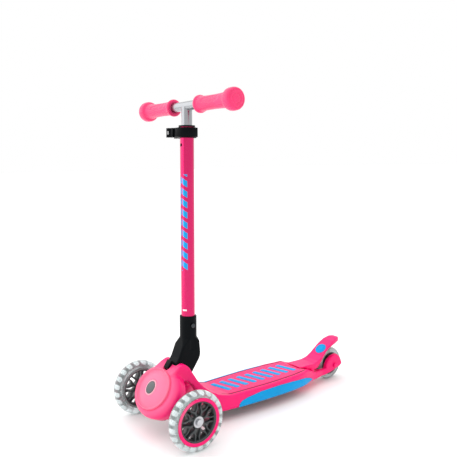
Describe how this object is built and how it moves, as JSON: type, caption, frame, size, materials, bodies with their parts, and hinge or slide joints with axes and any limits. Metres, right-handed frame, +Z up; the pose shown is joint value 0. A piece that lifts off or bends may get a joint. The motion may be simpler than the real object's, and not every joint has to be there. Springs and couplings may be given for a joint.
{
  "type": "three-wheel kick scooter",
  "caption": "Child's folding kick scooter with lean-to-steer front wheels, one rear wheel under a foot brake, and a telescopic handlebar.",
  "frame": {"origin": "on the ground, midway between the front and rear ends of the scooter, on its middle plane", "axes": "+X to the rider's left, +Y to the rear, +Z up; the scooter faces -Y"},
  "size_m": [0.333, 0.5748, 0.6855],
  "materials": {
    "pink_shell": "satin moulded plastic",
    "pink_face": "satin moulded plastic",
    "blue_inlay": "satin plastic",
    "pale_ring": "pale pink plastic",
    "black_plastic": "satin black plastic",
    "grey_button": "matt plastic",
    "clear_tyre": "clear polyurethane",
    "light_white": "white lamp capsule",
    "grey_core": "satin grey plastic",
    "steel": "zinc plated",
    "silver_tube": "satin anodised",
    "pink_tube": "anodised pink",
    "pink_grip": "soft satin rubber",
    "white_bush": "nylon"
  },
  "bodies": {
    "chassis": {"deck": "pink_shell", "cover_face": "pink_face", "lock_bezel": "pale_ring", "under_cover": "black_plastic", "kingpin": "steel", "kingpin_nut": "steel", "side_inlay_left": "blue_inlay", "side_inlay_right": "blue_inlay", "grip_marks": "blue_inlay", "under_plate": "black_plastic", "under_screws": "steel", "rear_axle": "steel", "rear_axle_nut": "steel", "rear_spacers": "steel", "brake_pin": "steel", "brake_spring": "steel", "pivot_pin": "steel"},
    "lock_button": {"lock_button": "grey_button"},
    "fold_button": {"fold_button": "black_plastic"},
    "truck": {"steering_truck": "black_plastic", "kingpin_bushes": "white_bush", "steering_spring": "steel", "front_axles": "steel", "axle_spacers": "steel", "dynamo_magnets": "steel"},
    "left_wheel": {"left_tyre": "clear_tyre", "left_lights": "light_white", "left_ring": "pink_shell", "left_core": "grey_core", "left_bearings": "steel"},
    "right_wheel": {"right_tyre": "clear_tyre", "right_lights": "light_white", "right_ring": "pink_shell", "right_core": "grey_core", "right_bearings": "steel"},
    "rear_wheel": {"rear_tyre": "clear_tyre", "rear_core": "grey_core", "rear_bearings": "steel"},
    "brake": {"rear_brake": "pink_shell", "brake_badge": "blue_inlay"},
    "stem": {"stem_elbow": "black_plastic", "fold_pawl": "steel", "outer_tube": "pink_tube", "holder_bolt": "steel", "holder_nut": "steel", "tube_bushing": "black_plastic", "clamp_collar": "black_plastic", "clamp_bolt": "steel", "clamp_nut": "steel", "clamp_washer": "grey_button", "cam_pin": "steel"},
    "lever": {"clamp_lever": "black_plastic"},
    "handlebar": {"inner_tube": "silver_tube", "cross_tube": "silver_tube", "grip_left": "pink_grip", "grip_right": "pink_grip", "snap_spring": "steel"},
    "snap_button": {"snap_button": "steel"}
  },
  "joints": [
    {"name": "steer", "type": "hinge", "parent": "chassis", "child": "truck", "pos_m": [0, -0.22042, 0.07047], "axis": [0, -0.8192, 0.5736], "range_deg": [-15, 15], "stiffness_Nm_per_rad": 30},
    {"name": "left_wheel_spin", "type": "hinge", "parent": "truck", "child": "left_wheel", "pos_m": [0.1137, -0.22845, 0.059], "axis": [1, 0, 0], "continuous": true},
    {"name": "right_wheel_spin", "type": "hinge", "parent": "truck", "child": "right_wheel", "pos_m": [-0.1137, -0.22845, 0.059], "axis": [1, 0, 0], "continuous": true},
    {"name": "rear_wheel_spin", "type": "hinge", "parent": "chassis", "child": "rear_wheel", "pos_m": [0, 0.24745, 0.04], "axis": [1, 0, 0], "continuous": true},
    {"name": "brake_press", "type": "hinge", "parent": "chassis", "child": "brake", "pos_m": [0, 0.16535, 0.046], "axis": [-1, 0, 0], "range_deg": [0, 2.4], "stiffness_Nm_per_rad": 2, "springref_deg": -5.73},
    {"name": "stem_fold", "type": "hinge", "parent": "chassis", "child": "stem", "pos_m": [0, -0.196, 0.11929], "axis": [-1, 0, 0], "range_deg": [0, 85]},
    {"name": "fold_release", "type": "slide", "parent": "chassis", "child": "fold_button", "axis": [0, -0.5736, -0.8192], "range_m": [0, 0.003], "stiffness_N_per_m": 300},
    {"name": "steering_lock", "type": "slide", "parent": "chassis", "child": "lock_button", "axis": [0, 0.8192, -0.5736], "range_m": [0, 0.004], "stiffness_N_per_m": 300},
    {"name": "clamp_open", "type": "hinge", "parent": "stem", "child": "lever", "pos_m": [-0.024, -0.18384, 0.6], "axis": [0, -0.0222, -0.9998], "range_deg": [0, 120]},
    {"name": "bar_height", "type": "slide", "parent": "stem", "child": "handlebar", "axis": [0, 0.0222, 0.9998], "range_m": [0, 0.15]},
    {"name": "height_catch", "type": "slide", "parent": "handlebar", "child": "snap_button", "axis": [0, 1, 0], "range_m": [0, 0.0025], "stiffness_N_per_m": 300}
  ]
}
